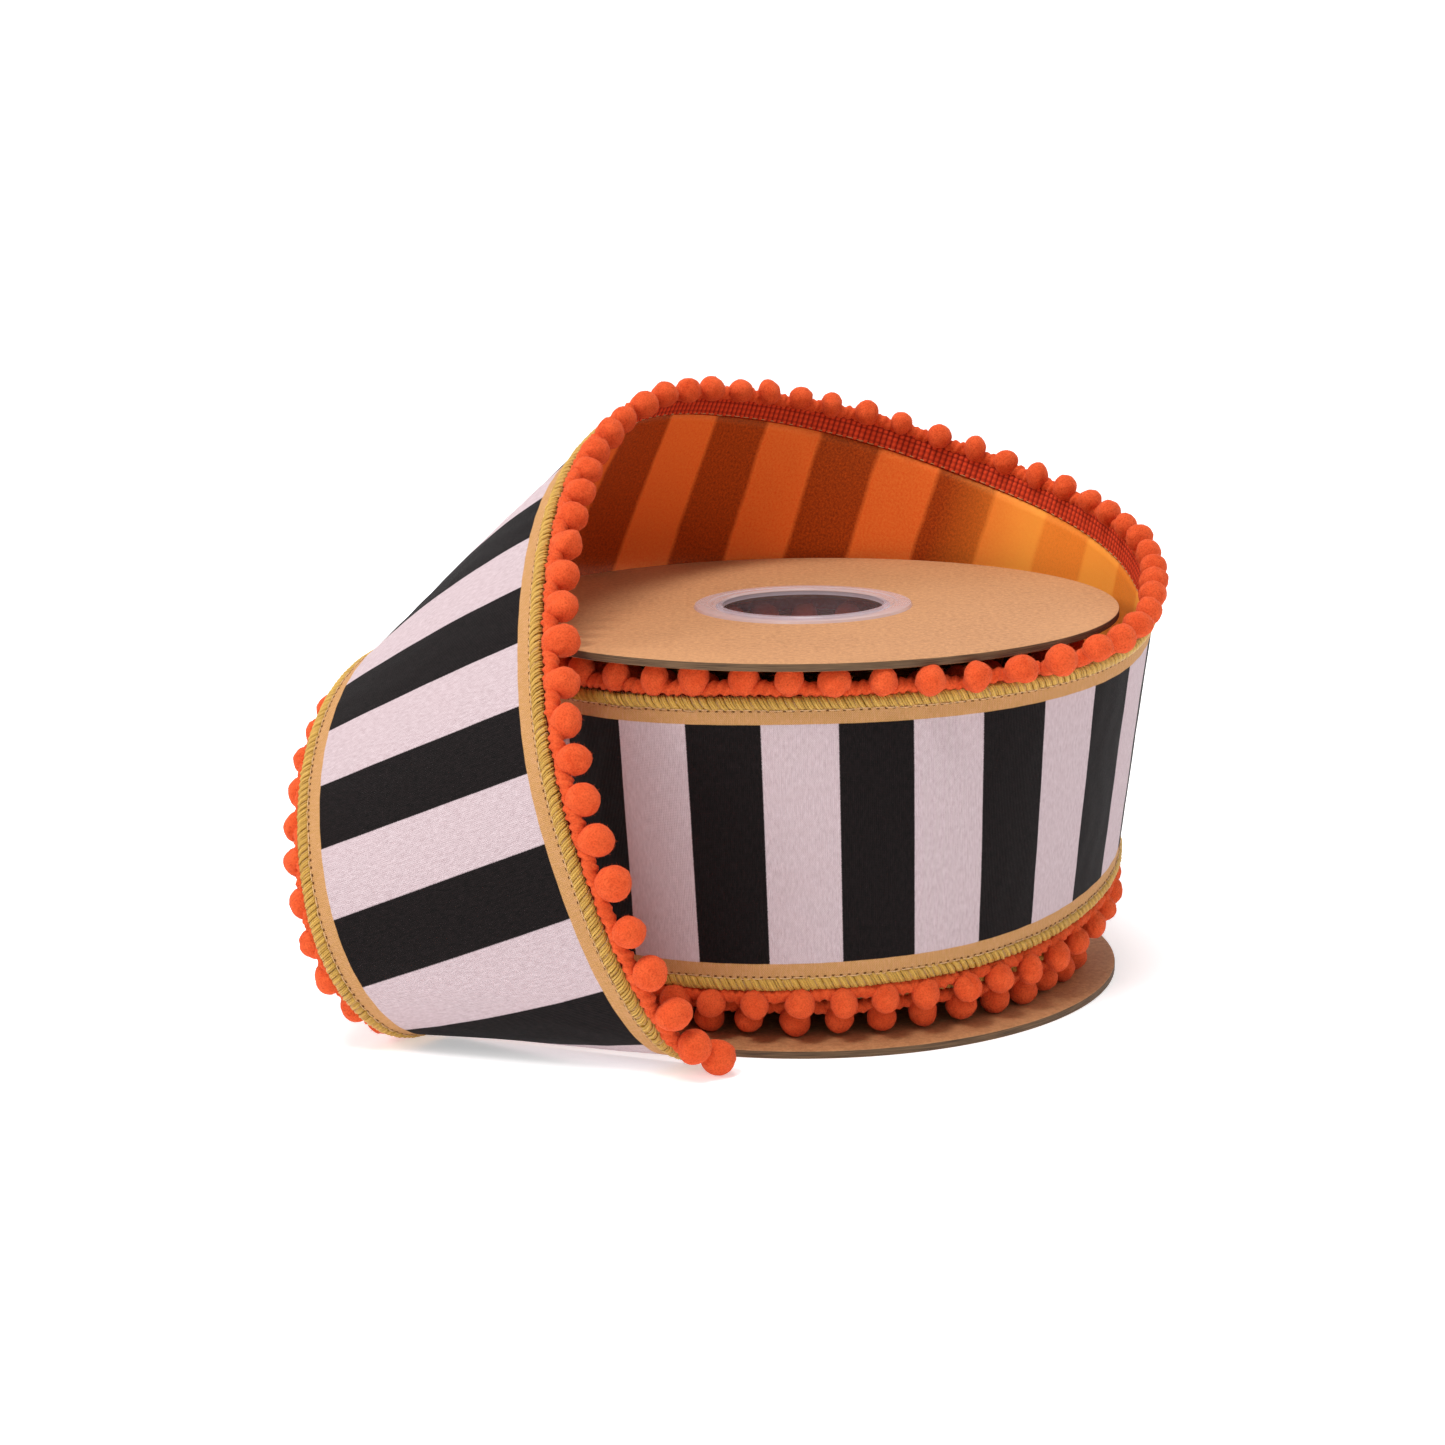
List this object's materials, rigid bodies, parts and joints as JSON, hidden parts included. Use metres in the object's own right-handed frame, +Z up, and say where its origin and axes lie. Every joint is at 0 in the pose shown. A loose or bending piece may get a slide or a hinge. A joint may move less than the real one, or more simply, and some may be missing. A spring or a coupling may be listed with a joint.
{
  "type": "pom pom ribbon on a card spool",
  "caption": "Wide striped ribbon with pompom edges, wound on a card spool with its lined end hanging loose to the floor.",
  "frame": {"origin": "centre of the whole object's footprint, on the floor; the spool's axis stands at x 0.016, y 0.0058", "axes": "+X to the right of the picture, +Y away from the camera, +Z up along the spool's axis"},
  "size_m": [0.1996, 0.1719, 0.1362],
  "materials": {
    "ribbon_cloth": "ribbed woven stripes with a twisted cord edge",
    "lining_satin": "smooth satin with a soft sheen",
    "pompom_felt": "felted yarn balls on a knotted braid",
    "wound_cloth": "woven turns with corded edges",
    "kraft_card": "smooth kraft facing with a raw cut edge",
    "hub_plastic": "thin moulded plastic, cloudy and clear"
  },
  "bodies": {
    "root": {"ribbon": "ribbon_cloth", "lining": "lining_satin", "trim_upper": "pompom_felt", "trim_lower": "pompom_felt", "wound_ribbon": "wound_cloth", "roll_trim_top": "pompom_felt", "roll_trim_bottom": "pompom_felt", "flange_top": "kraft_card", "flange_bottom": "kraft_card", "hub": "hub_plastic"}
  },
  "joints": []
}
